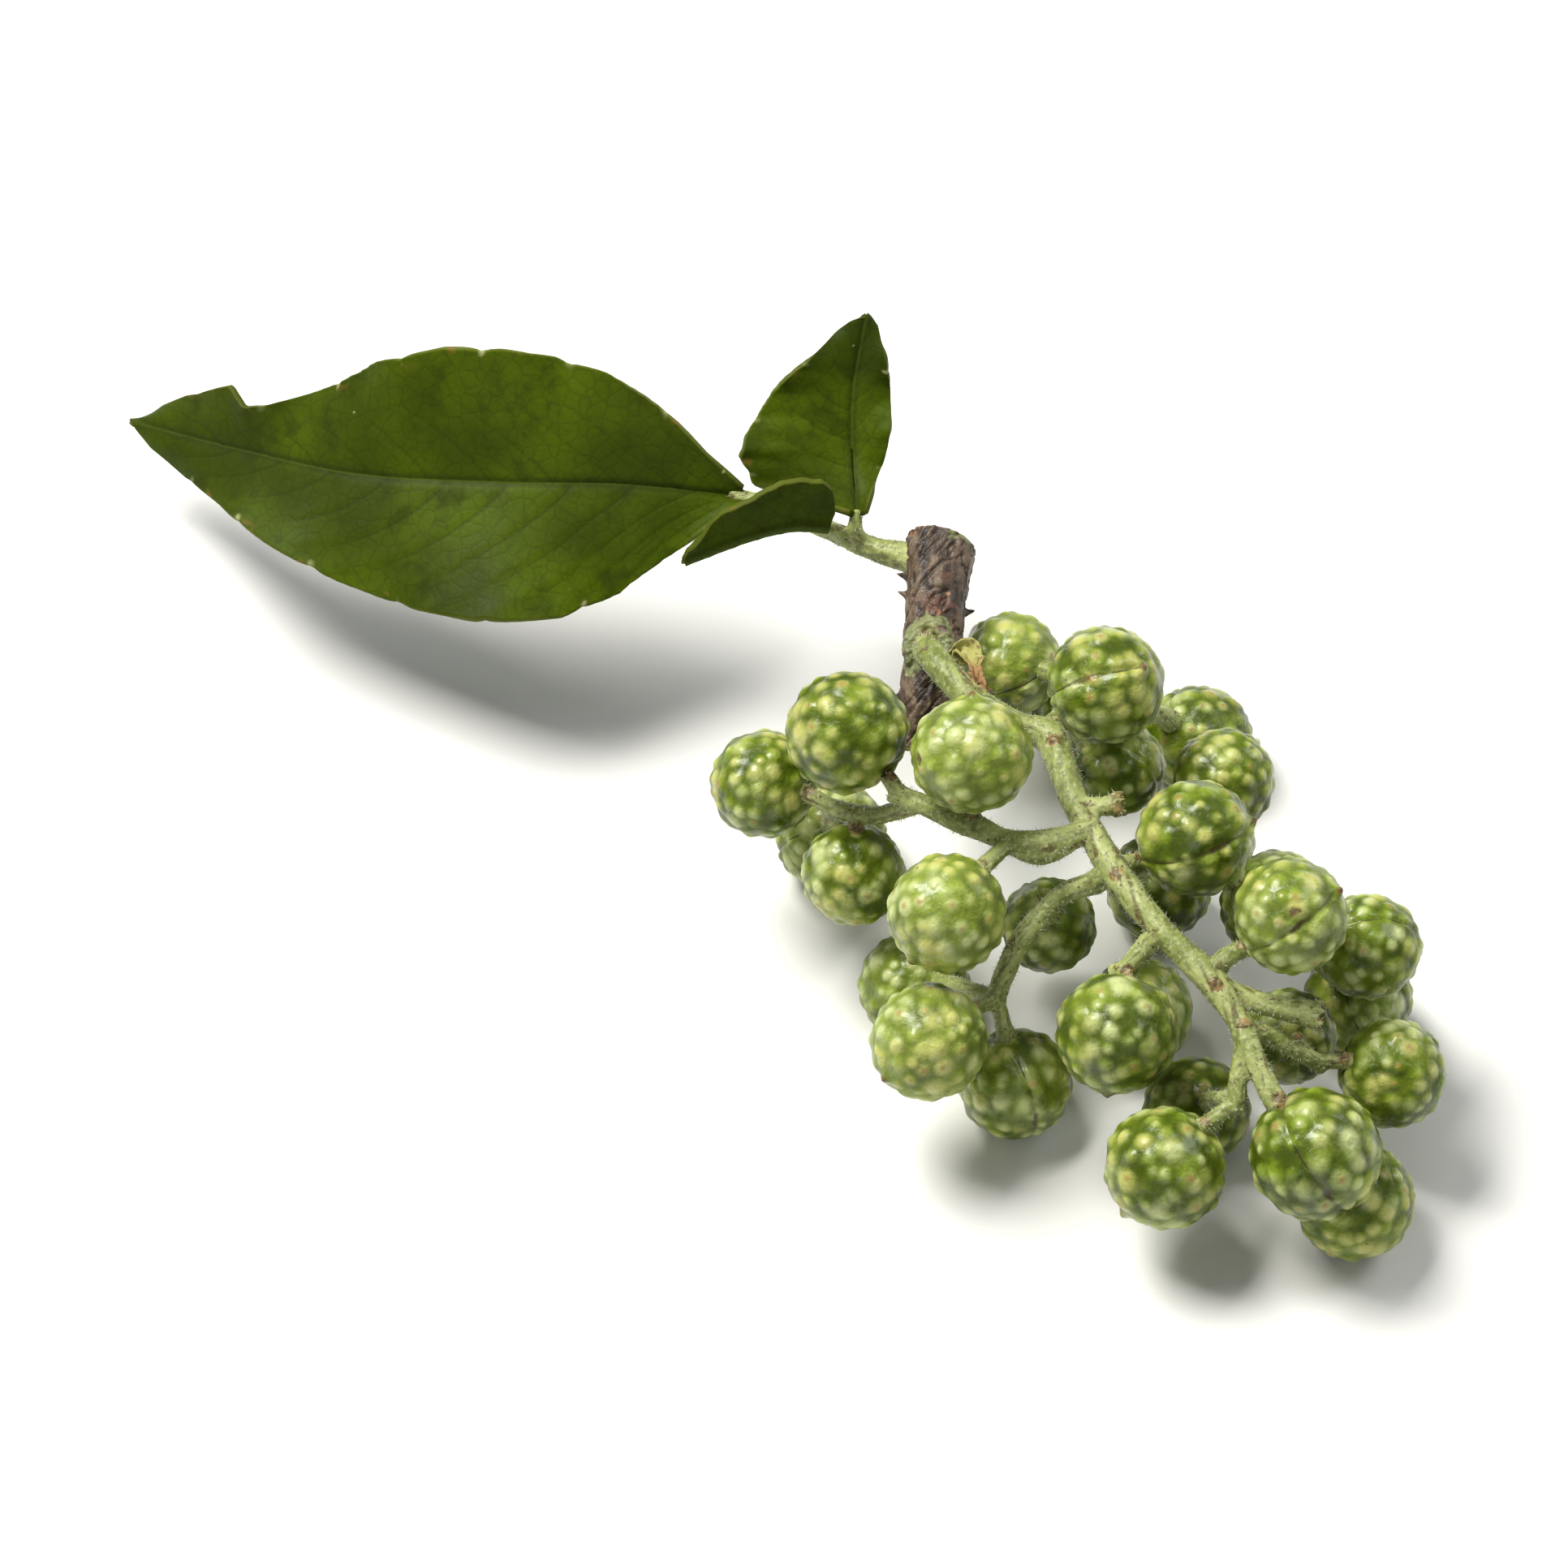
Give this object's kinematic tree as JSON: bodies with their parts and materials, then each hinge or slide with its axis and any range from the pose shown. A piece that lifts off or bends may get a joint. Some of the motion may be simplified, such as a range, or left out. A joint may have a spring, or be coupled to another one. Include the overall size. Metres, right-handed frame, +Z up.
{
  "type": "sichuan peppercorn sprig",
  "caption": "Fresh green sichuan pepper sprig lying down: a cut woody twig that bears a branched panicle of round warty berries and a compound leaf with a large, wavy end leaflet.",
  "frame": {"origin": "middle of the sprig's footprint, on the flat surface that it lies on", "axes": "+X runs across the sprig from the leaf's tip to the panicle's tip, -Y points from the cut end of the twig to the panicle's tip, +Z up"},
  "size_m": [0.0596, 0.0466, 0.0172],
  "materials": {
    "berry": "fresh waxy green rind with raised pale oil glands",
    "stem": "pale green hairy stem with brown specks",
    "leaf": "glossy deep green leaf with a fine vein net",
    "bark": "dark brown cracked bark with a pale cut end"
  },
  "bodies": {
    "root": {"woody_twig": "bark", "panicle_axis": "stem", "spray_1": "berry", "spray_2": "berry", "spray_3": "berry", "spray_4": "berry", "spray_5": "berry", "spray_6": "berry", "spray_7": "berry", "spray_8": "berry", "leaf_rachis": "stem", "leaflet_end": "leaf", "leaflet_side": "leaf", "leaflet_folded": "leaf"}
  },
  "joints": []
}
